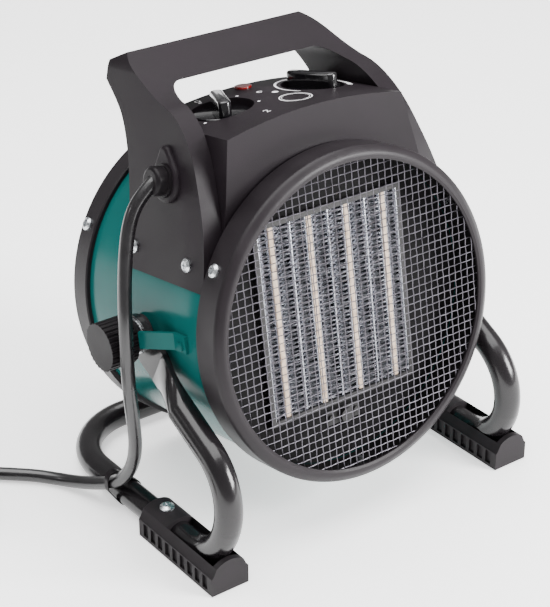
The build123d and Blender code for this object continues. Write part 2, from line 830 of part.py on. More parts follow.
tab_low, tab_high = -0.9, 9.0
tab_foot = (32.0, 43.5)
tab_tip = (61.0, 14.0)
tab_root = drum_r - 0.4
with BuildPart() as stop_tabs:
    for side in (-1, 1):
        with BuildSketch(level(tab_low)) as strip:
            with BuildLine():
                Polyline(
                    (side * tab_root, tab_foot[0]), (side * tab_root, tab_foot[1]),
                    (side * (drum_r + tab_tip[1] - tab_t), tab_tip[0]),
                    (side * (drum_r + tab_tip[1]), tab_tip[0] - tab_t / 2),
                    (side * (drum_r + tab_t), tab_foot[1] - tab_t / 3),
                    (side * (drum_r + tab_t), tab_foot[0]),
                    close=True,
                )
            make_face()
        extrude(strip.sketch, amount=tab_high - tab_low)
    with BuildSketch(across(0)) as drum_section:
        Circle(drum_r + slip)
    extrude(drum_section.sketch, amount=-handle_reach, mode=Mode.SUBTRACT)
    drill(rivet_planes, rivet_r + slip, 8.0)
save(stop_tabs, "stop_tabs")

with BuildPart(*rivet_planes) as tab_rivets:
    Cylinder(rivet_head_r, 1.1, align=UPWARDS)
    Cylinder(rivet_r, 6.0, align=DOWNWARDS)
save(tab_rivets, "tab_rivets")

# ---------------------------------------------------------------- stand tube with crimped, pierced ends
leg = Vector(0, -cos(radians(leg_slope)), -sin(radians(leg_slope)))
eye_centre = Vector(-eye_x, pivot_y, pivot_z)
crimp_top = eye_centre + leg * crimp_start
round_top = Vector(-leg_x, pivot_y, pivot_z) + leg * crimp_end
knee = Vector(-leg_x, pivot_y, pivot_z) + leg * leg_length
toe = Vector(-foot_x, leg_toe_y, tube_r + sole)
heel = Vector(-foot_x, crossbar_y, tube_r)
run = (heel - toe).normalized()

foot_screw_y = -31.0
foot_screw_r = 2.0
foot_screw_places = [Plane(origin=(side * foot_x, foot_screw_y, foot_height)) for side in (-1, 1)]

with BuildPart() as stand_tube:
    with BuildLine() as half_route:
        FilletPolyline(
            round_top, knee, toe, heel, Vector(0, crossbar_y, tube_r),
            radius=[front_bend, front_bend, rear_bend],
        )
    with BuildSketch(Plane(origin=round_top, z_dir=leg)):
        Circle(tube_r)
        Circle(tube_r - tube_wall, mode=Mode.SUBTRACT)
    sweep()
    with BuildSketch(Plane(origin=crimp_top, x_dir=(1, 0, 0), z_dir=leg)) as flat_end:
        Rectangle(eye_t, 2 * eye_r)
    with BuildSketch(Plane(origin=round_top, x_dir=(1, 0, 0), z_dir=leg)) as round_end:
        Circle(tube_r)
    loft([flat_end.sketch, round_end.sketch])
    with BuildSketch(Plane(origin=eye_centre - Vector(eye_t / 2, 0, 0), x_dir=leg, z_dir=(1, 0, 0))) as eye:
        Circle(eye_r)
        with Locations((crimp_start / 2, 0)):
            Rectangle(crimp_start, 2 * eye_r)
        Circle(stud_r + slip, mode=Mode.SUBTRACT)
    extrude(eye.sketch, amount=eye_t)
    mirror(about=Plane.YZ)
    drill(foot_screw_places, foot_screw_r, foot_height - tube_r)
save(stand_tube, "stand_tube")

# ---------------------------------------------------------------- feet
rib_pitch = 7.4
rib_depth = 1.4
rib_gap = 4.6
ribs = 9
shoulder = 12.5
crown_width = 18.0
crown_edge = foot_height - 3.0
bevel = 1.2
recess = (-89.4, -43.6)
recess_width = 2 * tube_r + 1.8
foot_back_y = foot_front_y + foot_length

for side, name in ((-1, "foot_left"), (1, "foot_right")):
    end_plane = Plane(origin=(side * foot_x, foot_front_y, 0), x_dir=(1, 0, 0), z_dir=(0, -1, 0))
    with BuildPart() as foot:
        with BuildSketch(end_plane) as end:
            with BuildLine():
                Polyline(
                    (crown_width / 2, crown_edge), (foot_width / 2 - bevel, shoulder),
                    (foot_width / 2, shoulder - bevel), (foot_width / 2, 0),
                    (-foot_width / 2, 0), (-foot_width / 2, shoulder - bevel),
                    (-foot_width / 2 + bevel, shoulder), (-crown_width / 2, crown_edge),
                )
                ThreePointArc((-crown_width / 2, crown_edge), (0, foot_height), (crown_width / 2, crown_edge))
            make_face()
        extrude(end.sketch, amount=-foot_length)
        with Locations((side * foot_x, (recess[0] + recess[1]) / 2, foot_height)):
            Box(recess_width, recess[1] - recess[0], 2 * (foot_height - sole), mode=Mode.SUBTRACT)
        with BuildSketch(Plane(origin=Vector(side * foot_x, toe.Y, toe.Z), z_dir=run)) as channel:
            Circle(tube_r + slip)
        extrude(channel.sketch, amount=2 * foot_length, mode=Mode.SUBTRACT)
        first_rib = foot_front_y + (foot_length - (ribs - 1) * rib_pitch) / 2
        rib_spots = [
            (side * foot_x + edge * foot_width / 2, first_rib + line * rib_pitch, shoulder / 2)
            for line in range(ribs) for edge in (-1, 1)
        ]
        with Locations(*rib_spots):
            Box(2 * rib_depth, rib_gap, shoulder - 4.0, mode=Mode.SUBTRACT)
        drill([foot_screw_places[0 if side < 0 else 1]], foot_screw_r, foot_height / 2)
    save(foot, name)

foot_screws = pan_screws(foot_screw_places, 4.2, 2.4, foot_screw_r - slip, foot_height - 2 * tube_r)
save(foot_screws, "foot_screws")

# ---------------------------------------------------------------- mains lead, its coil, its tie and its plug
bend_share = 0.45


def lead_tube(points):
    """A round tube along straight runs joined by the largest arcs that the runs allow."""
    corners = [Vector(*point) for point in points]
    radii = []
    for before, corner, after in zip(corners, corners[1:], corners[2:]):
        turn = (corner - before).get_angle(after - corner)
        shorter = min((corner - before).length, (after - corner).length)
        radii.append(bend_share * shorter / tan(radians(turn) / 2))
    print("radii", [round(radius, 1) for radius in radii])
    with BuildPart() as tube:
        with BuildLine() as line:
            FilletPolyline(*corners, radius=radii)
        with BuildSketch(Plane(origin=corners[0], z_dir=corners[1] - corners[0])) as section:
            Circle(cord_r)
        sweep(section.sketch, path=line.wires()[0])
    length = line.wires()[0].length
    print("length", round(length, 1), "volume ratio", round(tube.part.volume / (length * pi * cord_r**2), 4))
    return tube.part


def trimmed_by_coil(tube):
    """The tube as far as the coil's outer wall."""
    with BuildPart() as lead:
        add(tube)
        with Locations((*coil_centre, 0)):
            Cylinder(coil_out, 4 * coil_height, mode=Mode.SUBTRACT)
    return lead


power_lead = trimmed_by_coil(lead_tube(lead_route))
save(power_lead, "power_lead")
lead_tail = trimmed_by_coil(lead_tube(tail_route))
save(lead_tail, "lead_tail")

with BuildPart() as lead_coil:
    with Locations((*coil_centre, 0)):
        Cylinder(coil_out, coil_height, align=UPWARDS)
        Cylinder(coil_in, 4 * coil_height, mode=Mode.SUBTRACT)
    fillet(lead_coil.edges().filter_by(GeomType.CIRCLE), cord_r * 0.6)
save(lead_coil, "lead_coil")

tie_y = 11.0
tie_width = 3.6
tie_t = 0.6
tie_lead = (-114.9, 19.4)
tie_slant = 2.2
tie_room = 0.7
tube_at_tie = toe + run * ((tie_y - toe.Y) / run.Y)
tie_plane = Plane(origin=(0, tie_y - tie_width / 2, 0), x_dir=(1, 0, 0), z_dir=(0, -1, 0))


def tie_loop(grow):
    """The loop around the tube and the slanting lead, seen along the tube."""
    with BuildSketch(tie_plane) as loop:
        with Locations((tube_at_tie.X, tube_at_tie.Z)):
            Circle(tube_r + slip + grow)
        with Locations((tie_lead[0], tie_lead[1] + tie_slant), (tie_lead[0], tie_lead[1] - tie_slant)):
            Circle(cord_r + tie_room + grow)
        make_hull()
    return loop.sketch


tie_outside = tie_loop(tie_t)
tie_inside = tie_loop(0)
with BuildPart() as cable_tie:
    extrude(tie_outside, amount=-tie_width)
    extrude(tie_inside, amount=-tie_width, mode=Mode.SUBTRACT)
save(cable_tie, "cable_tie")

plug_r = 18.8
plug_length = 37.0
sleeve_length = 26.0
pin_r = 2.4
pin_length = 19.0
pin_spacing = 19.0
plug_back = Vector(*tail_route[-1])
plug_face = plug_back - Vector(0, sleeve_length + plug_length, 0)
plug_side = Plane(origin=plug_face, x_dir=(0, 1, 0), z_dir=(1, 0, 0))
pin_socket = 9.0
with BuildPart() as plug_body:
    with BuildSketch(plug_side):
        with BuildLine():
            Polyline(
                (0, 0), (0, plug_r - 1), (1, plug_r), (9, plug_r), (14, 15.6), (33, 13.0),
                (plug_length, 8.0), (plug_length, 6.4),
                (plug_length + sleeve_length, cord_r + 0.8), (plug_length + sleeve_length, 0), close=True,
            )
        make_face()
    revolve(axis=Axis(plug_face, (0, 1, 0)))
    with BuildSketch(Plane(origin=plug_face, x_dir=(1, 0, 0), z_dir=(0, -1, 0))) as pin_holes:
        with Locations((-pin_spacing / 2, 0), (pin_spacing / 2, 0)):
            Circle(pin_r)
    extrude(pin_holes.sketch, amount=-pin_socket, mode=Mode.SUBTRACT)
save(plug_body, "plug_body")

with BuildPart(Plane(origin=plug_face, x_dir=(1, 0, 0), z_dir=(0, -1, 0))) as plug_pins:
    with Locations((-pin_spacing / 2, 0, -pin_socket), (pin_spacing / 2, 0, -pin_socket)):
        Cylinder(pin_r, pin_socket + pin_length, align=UPWARDS)
save(plug_pins, "plug_pins")
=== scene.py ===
import bpy, bmesh
from math import cos, radians, sin, sqrt
from mathutils import Matrix, Vector


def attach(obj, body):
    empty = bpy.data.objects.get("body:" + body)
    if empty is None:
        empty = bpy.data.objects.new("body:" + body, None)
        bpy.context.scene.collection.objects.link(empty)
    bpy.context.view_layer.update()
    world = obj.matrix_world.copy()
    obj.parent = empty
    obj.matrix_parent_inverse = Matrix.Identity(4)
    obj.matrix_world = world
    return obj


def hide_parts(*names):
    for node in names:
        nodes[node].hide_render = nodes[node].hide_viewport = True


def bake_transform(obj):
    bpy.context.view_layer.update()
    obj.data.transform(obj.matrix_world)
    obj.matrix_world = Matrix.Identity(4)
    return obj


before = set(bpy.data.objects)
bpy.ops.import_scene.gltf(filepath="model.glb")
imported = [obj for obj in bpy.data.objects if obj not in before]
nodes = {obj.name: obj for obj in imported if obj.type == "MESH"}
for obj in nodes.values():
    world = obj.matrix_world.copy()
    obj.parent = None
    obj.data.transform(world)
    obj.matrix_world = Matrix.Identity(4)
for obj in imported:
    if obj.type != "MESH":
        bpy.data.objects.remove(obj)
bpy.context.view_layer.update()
MM = 0.001

# ---------------------------------------------------------------- the tilted heater's own frame
tilt = radians(9.4)
nose = Vector((0, -cos(tilt), sin(tilt)))
lift = Vector((0, sin(tilt), cos(tilt)))
pivot = Vector((0, 4.5, 114.7)) * MM
face_centre = pivot + nose * 77.5 * MM


def at(x, depth, height):
    """A point, given in millimetres sideways, rearwards from the grille and up from the drum's axis."""
    return face_centre + Vector((x, 0, 0)) * MM - nose * depth * MM + lift * height * MM


def drum_frame(x=0, depth=0, height=0):
    """X sideways, Y up across the drum and Z forwards out of the grille."""
    turn = Matrix((Vector((1, 0, 0)), lift, nose)).transposed().to_4x4()
    return Matrix.Translation(at(x, depth, height)) @ turn


def panel_frame(x=0, depth=0, height=0):
    """X sideways, Y rearwards and Z up out of the control panel."""
    turn = Matrix((Vector((1, 0, 0)), -nose, lift)).transposed().to_4x4()
    return Matrix.Translation(at(x, depth, height)) @ turn


# ---------------------------------------------------------------- camera
# Where the camera stands, and the way from what it looks at back to it
camera_place = Vector((-0.54896, -0.72789, 0.58649))
camera_back = Vector((-0.5292, -0.7087, 0.4667))
lens = bpy.data.cameras.new("view_camera")
lens.lens = 103.14
lens.sensor_width = 36.0
lens.clip_start = 0.05
camera = bpy.data.objects.new("view_camera", lens)
camera.location = camera_place
camera.rotation_euler = camera_back.to_track_quat("Z", "Y").to_euler()
bpy.context.collection.objects.link(camera)
bpy.context.scene.camera = camera


# ---------------------------------------------------------------- materials
def shade(hex_colour):
    """An sRGB hex colour as the linear numbers that a shader takes."""
    parts = [int(hex_colour[i:i + 2], 16) / 255 for i in (1, 3, 5)]
    return [part / 12.92 if part <= 0.04045 else ((part + 0.055) / 1.055) ** 2.4 for part in parts] + [1.0]


def put(tree, kind, inputs=None, **settings):
    """Adds a node, sets its properties and fills or links its inputs."""
    made = tree.nodes.new(kind)
    for name, value in settings.items():
        setattr(made, name, value)
    for name, value in (inputs or {}).items():
        if isinstance(value, bpy.types.NodeSocket):
            tree.links.new(value, made.inputs[name])
        else:
            made.inputs[name].default_value = value
    return made


def finish_of(name, colour, second, patch_mm, grain_mm, grain, rough, spread=0.06, **shader):
    """A finish whose colour and gloss wander over patches, with a fine grain in its surface."""
    material = bpy.data.materials.new(name)
    material.use_nodes = True
    tree = material.node_tree
    surface = tree.nodes["Principled BSDF"]
    for socket, value in shader.items():
        surface.inputs[socket.replace("_", " ")].default_value = value
    place = put(tree, "ShaderNodeTexCoord").outputs["Object"]
    patch = put(tree, "ShaderNodeTexNoise", {"Vector": place, "Scale": 1000 / patch_mm, "Detail": 3.0})
    ramp = put(tree, "ShaderNodeValToRGB", {"Fac": patch.outputs["Fac"]})
    ramp.color_ramp.elements[0].position = 0.3
    ramp.color_ramp.elements[0].color = shade(colour)
    ramp.color_ramp.elements[1].position = 0.7
    ramp.color_ramp.elements[1].color = shade(second)
    gloss = put(tree, "ShaderNodeMapRange", {"Value": patch.outputs["Fac"], "From Min": 0.3, "From Max": 0.7,
                                             "To Min": rough - spread, "To Max": rough + spread})
    fine = put(tree, "ShaderNodeTexNoise", {"Vector": place, "Scale": 1000 / grain_mm, "Detail": 2.0})
    bump = put(tree, "ShaderNodeBump", {"Height": fine.outputs["Fac"], "Strength": grain,
                                        "Distance": grain_mm * MM * 0.3})
    tree.links.new(ramp.outputs["Color"], surface.inputs["Base Color"])
    tree.links.new(gloss.outputs["Result"], surface.inputs["Roughness"])
    tree.links.new(bump.outputs["Normal"], surface.inputs["Normal"])
    return material


# Stoved enamel on sheet steel: a deep teal of low gloss, with a faint orange peel about 2 mm across
enamel = finish_of("stoved_enamel_teal", "#004B49", "#00524F", 40, 2.2, 0.06, 0.2, 0.03,
                   Coat_Weight=0.05, Coat_Roughness=0.08, Specular_IOR_Level=0.12)
# Textured powder coat on pressed steel: an even near-black with little sheen
powder = finish_of("powder_coat_charcoal", "#191518", "#1E1A1D", 25, 0.7, 0.25, 0.4, Specular_IOR_Level=0.2)
# Moulded ABS with a fine spark-eroded grain: near-black, and duller than plain ABS
abs_grain = finish_of("grained_abs_charcoal", "#181417", "#1E191D", 30, 0.6, 0.3, 0.44,
                      Specular_IOR_Level=0.1)
# Polished ABS for what the fingers turn: a hard black gloss
abs_gloss = finish_of("polished_abs_black", "#0E0D0F", "#131214", 12, 1.5, 0.04, 0.13, 0.03, Coat_Weight=0.4)
# Glass-filled nylon for glands, ties and clamp knobs: a dull black
nylon = finish_of("filled_nylon_black", "#141214", "#1A1719", 10, 0.5, 0.2, 0.36, Specular_IOR_Level=0.1)
# Gloss black coat on bent tube
tube_coat = finish_of("gloss_coat_black", "#121012", "#181517", 30, 1.6, 0.06, 0.24, 0.04, Coat_Weight=0.2,
                      Specular_IOR_Level=0.35)
# Zinc-plated steel: bright and a little uneven
zinc = finish_of("zinc_plate", "#C3C8CC", "#E2E4E6", 1.2, 0.5, 0.2, 0.28, 0.1, Metallic=1.0)
# Foot rubber: matt with a dusty bloom
foot_rubber = finish_of("foot_rubber", "#171416", "#1F1B1E", 8, 0.5, 0.35, 0.6, Specular_IOR_Level=0.2)
# Lead sheath: smooth vulcanised rubber with a waxy bloom that takes a highlight
sheath = finish_of("lead_sheath_rubber", "#121012", "#171517", 15, 0.8, 0.12, 0.3, Coat_Weight=0.3)
# Barium titanate bars: matt, warm beige, unglazed
ceramic = finish_of("barium_titanate", "#B59C86", "#DCC8B4", 3, 0.4, 0.3, 0.6)
# Rolled aluminium strip: bright metal, dulled by oven brazing
strip = finish_of("rolled_aluminium", "#8C8E95", "#BDBEC5", 3, 0.6, 0.3, 0.3, 0.1, Metallic=1.0)
# Coated wire: dark, with a glint on each crimp
wire_coat = finish_of("coated_wire", "#514E54", "#67646B", 6, 0.4, 0.1, 0.32, 0.06, Metallic=0.8)
# Matt black with little gloss on the pressings inside the drum and on a sheet lining the drum's mouth:
# painted shade, so that the inside of the drum stays dark behind the grille
drum_shade_black = finish_of("painted_shade_black", "#0A090A", "#0E0D0E", 20, 0.9, 0.1, 0.75, Specular_IOR_Level=0.15)
# Silicon steel laminations and turned shafts
lamination = finish_of("silicon_steel", "#6C7076", "#82868B", 4, 0.4, 0.25, 0.4, Metallic=1.0)
# Enamelled copper wire
copper = finish_of("enamelled_copper", "#8A3F1C", "#A5552B", 2, 0.5, 0.5, 0.3, Metallic=0.9)
# Nickel-plated brass
nickel = finish_of("nickel_plate", "#CFC9B8", "#E0DBCC", 3, 0.5, 0.1, 0.2, Metallic=1.0)
# Heat-proof moulding of the switches, blocks and the element's frame
phenolic = finish_of("phenolic_black", "#151314", "#1D1B1C", 8, 0.6, 0.2, 0.5)
# Red acrylic lens over a neon
lens_red = finish_of("red_acrylic", "#6E0B0C", "#8E1512", 3, 0.8, 0.1, 0.16, 0.02, Coat_Weight=0.5,
                     Transmission_Weight=0.25)
# Pad-printed white ink
white_ink = finish_of("white_print", "#D6D4D6", "#EDEBED", 3, 0.3, 0.1, 0.5)

finishes = {
    enamel: ["drum_shell", "stop_tabs", "tab_rivets"],
    powder: ["front_ring", "rear_ring"],
    abs_grain: ["handle", "control_housing"],
    nylon: ["cord_gland", "gland_nut", "cable_tie", "clamp_knob_left", "clamp_knob_right"],
    abs_gloss: ["switch_knob", "thermostat_knob"],
    tube_coat: ["stand_tube"],
    zinc: ["front_ring_screws", "rear_ring_screws", "handle_screws", "foot_screws", "pivot_studs",
           "pivot_washers", "bearing_brackets"],
    foot_rubber: ["foot_left", "foot_right", "pivot_pads"],
    sheath: ["power_lead", "lead_coil", "lead_tail", "plug_body"],
    nickel: ["plug_pins", "shaft_bushes"],
    ceramic: ["ceramic_bars"],
    strip: ["fin_dividers", "heat_fins", "fan_impeller"],
    wire_coat: ["front_grille", "rear_grille"],
    # The baffle's black is painted shade inside the drum
    drum_shade_black: ["baffle_plate"],
    phenolic: ["rotary_switch", "thermostat", "terminal_block", "element_frame", "thermal_cutout"],
    lamination: ["motor_stack", "motor_rotor", "motor_shaft", "motor_mount"],
    copper: ["motor_coil"],
    lens_red: ["power_lamp"],
}
for finish, names in finishes.items():
    for name in names:
        nodes[name].data.materials.clear()
        nodes[name].data.materials.append(finish)


# ---------------------------------------------------------------- making pieces
def piece_of(shape, name, finish, body, replaced=(), smooth=35):
    """A finished bmesh as an object that rides on a body and may stand for CAD nodes."""
    mesh = bpy.data.meshes.new(name)
    bmesh.ops.recalc_face_normals(shape, faces=shape.faces)
    shape.to_mesh(mesh)
    shape.free()
    made = bpy.data.objects.new(name, mesh)
    bpy.context.collection.objects.link(made)
    mesh.materials.append(finish)
    mesh.shade_smooth()
    mesh.set_sharp_from_angle(angle=radians(smooth))
    if replaced:
        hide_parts(*replaced)
    if body:
        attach(made, body)
    return made


def mesh_of(holder):
    """The finished form of a line or text object, as a mesh."""
    return bpy.data.meshes.new_from_object(holder.evaluated_get(bpy.context.evaluated_depsgraph_get()))


def softened(name, width, body, segments=3, merge=0.15, angle=28):
    """A copy of a CAD node with its hard edges rounded, as a moulding has them."""
    shape = bmesh.new()
    shape.from_mesh(nodes[name].data)
    bmesh.ops.remove_doubles(shape, verts=shape.verts, dist=merge * MM)
    bmesh.ops.dissolve_limit(shape, angle_limit=radians(1.5), verts=shape.verts, edges=shape.edges,
                             delimit={"NORMAL"})
    hard = [edge for edge in shape.edges if edge.is_manifold and edge.calc_face_angle(0) > radians(angle)]
    bmesh.ops.bevel(shape, geom=hard, offset=width * MM, offset_type="OFFSET", segments=segments, profile=0.5,
                    affect="EDGES", clamp_overlap=True, material=-1)
    bmesh.ops.triangulate(shape, faces=[face for face in shape.faces if len(face.verts) > 4])
    finish = nodes[name].data.materials[0]
    made = piece_of(shape, name + "_soft", finish, body, [name], 40)
    made.modifiers.new("even_shading", "WEIGHTED_NORMAL").keep_sharp = True
    return made


def rod_mesh(lines, radius, name, resolution=1):
    """Round wires along smooth lines of points, as one mesh."""
    curve = bpy.data.curves.new(name + "_line", "CURVE")
    curve.dimensions = "3D"
    curve.bevel_depth = radius * MM
    curve.bevel_resolution = resolution
    curve.resolution_u = 3
    for line in lines:
        spline = curve.splines.new("NURBS")
        spline.points.add(len(line) - 1)
        for point, place in zip(spline.points, line):
            point.co = (*place, 1.0)
        spline.order_u = 3
        spline.use_endpoint_u = True
    holder = bpy.data.objects.new(name + "_line", curve)
    bpy.context.collection.objects.link(holder)
    mesh = mesh_of(holder)
    bpy.data.objects.remove(holder)
    shape = bmesh.new()
    shape.from_mesh(mesh)
    return shape


# ---------------------------------------------------------------- mains lead
lead_route = [
    (-84.9, 0.7, 207.8), (-96.2, 1.3, 199.6), (-103.8, 0.2, 186.4),
    (-109.0, -3.6, 171.0), (-113.0, -7.6, 153.6),
    (-116.4, -12.4, 135.6), (-117.8, -14.6, 115.2), (-117.2, -14.8, 93.6), (-115.0, -14.0, 72.6),
    (-112.2, -11.0, 53.6), (-111.2, -4.6, 36.6), (-112.6, 3.8, 24.6),
    (-115.6, 13.4, 17.4), (-119.0, 26.0, 11.6),
    (-122.8, 40.0, 6.6), (-128.6, 53.4, 4.0), (-137.4, 64.6, 4.0), (-148.0, 74.4, 4.0), (-160.0, 85.2, 4.0),
    (-172.6, 97.4, 4.0), (-185.0, 109.0, 4.0),
]
tail_route = [(-271.4, 64.0, 20.2), (-272.2, 48.4, 19.6), (-272.0, 34.0, 18.8), (-272.0, 22.0, 18.8)]
cord_r = 4.0
coil_centre = (-223.0, 79.6)
coil_start = 37.7
coil_end = 182.0 + 4 * 360.0
coil_steps = 66
# How far round, in turns, each lay of the coil starts or ends, with its radius and height
coil_lays = [
    (0.0, 48.0, 4.0), (0.85, 48.0, 4.0), (1.0, 40.0, 4.0),
    (1.7, 40.0, 4.0), (1.85, 40.0, 12.0), (2.55, 40.0, 12.0),
    (2.7, 48.0, 12.0), (3.4, 48.0, 12.0), (3.55, 48.0, 20.0), (4.41, 48.0, 20.0),
]


def lay_at(turns):
    """The radius and height of the coil's line after so many turns."""
    for (start, r0, z0), (end, r1, z1) in zip(coil_lays, coil_lays[1:]):
        if turns <= end:
            share = (turns - start) / (end - start)
            return r0 + (r1 - r0) * share, z0 + (z1 - z0) * share
    return coil_lays[-1][1:]


coil_route = []
for step in range(1, coil_steps + 1):
    swept = (coil_end - coil_start) * step / coil_steps
    radius, height = lay_at(swept / 360)
    bearing = radians(coil_start + swept)
    coil_route.append((coil_centre[0] + radius * cos(bearing),
                       coil_centre[1] + radius * sin(bearing), height))

lead_line = bpy.data.curves.new("mains_lead", "CURVE")
lead_line.dimensions = "3D"
lead_line.resolution_u = 8
spline = lead_line.splines.new("NURBS")
lead_points = lead_route + coil_route + tail_route
spline.points.add(len(lead_points) - 1)
for point, place in zip(spline.points, lead_points):
    point.co = (*(Vector(place) * MM), 1.0)
spline.order_u = 3
spline.use_endpoint_u = True
lead_holder = bpy.data.objects.new("mains_lead_line", lead_line)
bpy.context.collection.objects.link(lead_holder)
lead_path = [tuple(vert.co) for vert in mesh_of(lead_holder).vertices]
lead_line.bevel_depth = cord_r * MM
lead_line.bevel_resolution = 6
lead_line.use_fill_caps = True
bpy.context.view_layer.update()
lead_shape = bmesh.new()
lead_shape.from_mesh(mesh_of(lead_holder))
bpy.data.objects.remove(lead_holder)
bmesh.ops.remove_doubles(lead_shape, verts=lead_shape.verts, dist=0.01 * MM)
lead = piece_of(lead_shape, "mains_lead", sheath, None, ["power_lead", "lead_coil", "lead_tail"], 60)
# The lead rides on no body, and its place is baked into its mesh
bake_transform(lead)
plug = softened("plug_body", 0.8, "stand", 2, 0.1)

# ---------------------------------------------------------------- woven grilles
grille_r = 93.7
rim_in = 91.6
wire_r = 0.31
wire_pitch = 4.6
crimp = 0.75


def woven_grille(name, front, replaced):
    """Crimped wires woven over and under each other inside a flat rim."""
    count = int((grille_r - 3.4) / wire_pitch)
    middle = front + 1.1
    lines = []
    for row in range(-count, count + 1):
        aside = row * wire_pitch
        half = sqrt(rim_in ** 2 - aside ** 2)
        reach = int(half / wire_pitch)
        across = [-half] + [step * wire_pitch for step in range(-reach, reach + 1)] + [half]
        flat = []
        upright = []
        for place in across:
            way = 1 if (round(place / wire_pitch) + row) % 2 else -1
            flat.append(at(place, middle + way * crimp * 0.5, aside))
            upright.append(at(aside, middle - way * crimp * 0.5, place))
        lines += [flat, upright]
    shape = rod_mesh(lines, wire_r, name, 0)
    rim = bmesh.ops.create_circle(shape, segments=128, radius=grille_r * MM)["verts"]
    rim_edges = list({edge for vert in rim for edge in vert.link_edges})
    inner = bmesh.ops.extrude_edge_only(shape, edges=rim_edges)["geom"]
    bmesh.ops.scale(shape, vec=(rim_in / grille_r, rim_in / grille_r, 1),
                    verts=[item for item in inner if isinstance(item, bmesh.types.BMVert)])
    faces = [item for item in inner if isinstance(item, bmesh.types.BMFace)]
    ring = bmesh.ops.extrude_face_region(shape, geom=faces)["geom"]
    ring = [item for item in ring if isinstance(item, bmesh.types.BMVert)]
    inner = [item for item in inner if isinstance(item, bmesh.types.BMVert)]
    bmesh.ops.translate(shape, vec=(0, 0, -2.2 * MM), verts=ring)
    bmesh.ops.transform(shape, matrix=drum_frame(0, front, 0), verts=rim + inner + ring)
    return piece_of(shape, name, wire_coat, "heater", replaced, 60)


woven_grille("front_mesh", 1.3, ["front_grille"])
woven_grille("rear_mesh", 147.3, ["rear_grille"])

# ---------------------------------------------------------------- heating element
bar_pitch = 26.4
bar_places = [step * bar_pitch for step in (-1.5, -0.5, 0.5, 1.5)]
divider_places = [step * bar_pitch for step in (-1.0, 0.0, 1.0)]
bar_half = 1.6
rail_place = 2.2
rail_half = 0.3
divider_half = 0.5
end_rail_place = 49.0
end_rail_half = 0.4
# How far a fin's folds stop from the middle of a bar, and where the outermost ones stop
fin_gap = 2.7
fin_reach = 48.6
fin_depth = 13.0
strip_thickness = 0.12
element_low, element_high = -54.0, 59.0
element_front = 21.6
element_depth = 14.0
fin_wave = 2.6


def block(shape, x0, x1, depth0, depth1, low, high, round_off=0.0):
    """A box between two places sideways, rearwards and upwards, with its edges taken off."""
    made = bmesh.ops.create_cube(shape, size=1.0)["verts"]
    bmesh.ops.scale(shape, vec=((x1 - x0) * MM, (high - low) * MM, (depth1 - depth0) * MM), verts=made)
    place = drum_frame((x0 + x1) / 2, (depth0 + depth1) / 2, (low + high) / 2)
    bmesh.ops.transform(shape, matrix=place, verts=made)
    if round_off:
        edges = list({edge for vert in made for edge in vert.link_edges})
        bmesh.ops.bevel(shape, geom=edges, offset=round_off * MM, segments=2, profile=0.5, affect="EDGES",
                        material=-1)


bars = bmesh.new()
for x in bar_places:
    block(bars, x - bar_half, x + bar_half, element_front, element_front + element_depth,
          element_low, element_high, 0.5)
piece_of(bars, "ceramic_strips", ceramic, "heater", ["ceramic_bars"])

rails = bmesh.new()
for x in bar_places:
    for side in (-1, 1):
        middle = x + side * rail_place
        block(rails, middle - rail_half, middle + rail_half, element_front + 0.4,
              element_front + element_depth - 0.4, element_low, element_high, 0.2)
for x in divider_places:
    block(rails, x - divider_half, x + divider_half, element_front, element_front + element_depth,
          element_low, element_high, 0.2)
for x in (-end_rail_place, end_rail_place):
    block(rails, x - end_rail_half, x + end_rail_half, element_front - 0.6, element_front + element_depth,
          element_low, element_high, 0.2)
piece_of(rails, "fin_rails", strip, "heater", ["fin_dividers"])

fins = bmesh.new()
folds = int((element_high - element_low) / (fin_wave / 2))
edges_x = sorted([x + side * fin_gap for x in bar_places for side in (-1, 1)]
                 + [x + side * divider_half for x in divider_places for side in (-1, 1)]
                 + [-fin_reach, fin_reach])
for x0, x1 in zip(edges_x[0::2], edges_x[1::2]):
    grid = bmesh.ops.create_grid(fins, x_segments=folds, y_segments=1, size=0.5)["verts"]
    for vert in grid:
        row = round((vert.co.x + 0.5) * folds)
        depth = element_front + 0.5 + (vert.co.y + 0.5) * fin_depth
        vert.co = at(x0 if row % 2 else x1, depth, element_low + row * (element_high - element_low) / folds)
corrugated = piece_of(fins, "corrugated_fins", strip, "heater", ["heat_fins"], 20)
thickness = corrugated.modifiers.new("strip_thickness", "SOLIDIFY")
thickness.thickness = strip_thickness * MM
thickness.offset = 0

# A black sheet lining the drum's wall between its mouth and the baffle: painted shade inside the drum
liner_r = 92.9
liner_depth = 20.6
liner = bmesh.new()
hoop = bmesh.ops.create_circle(liner, segments=128, radius=liner_r * MM)["verts"]
hoop_edges = list({edge for vert in hoop for edge in vert.link_edges})
wall = [item for item in bmesh.ops.extrude_edge_only(liner, edges=hoop_edges)["geom"]
        if isinstance(item, bmesh.types.BMVert)]
bmesh.ops.translate(liner, vec=(0, 0, -liner_depth * MM), verts=wall)
bmesh.ops.transform(liner, matrix=drum_frame(0, 4.0, 0), verts=liner.verts)
piece_of(liner, "painted_shade_drum_mouth", drum_shade_black, "heater")

# ---------------------------------------------------------------- mouldings with rounded edges
softened("handle", 2.4, "heater")
softened("control_housing", 1.5, "heater")
for side in ("left", "right"):
    softened("foot_" + side, 0.8, "stand", 2)
    softened("clamp_knob_" + side, 0.4, "clamp_" + side, 2, 0.05, 50)
softened("cord_gland", 0.5, "heater", 2, 0.1)

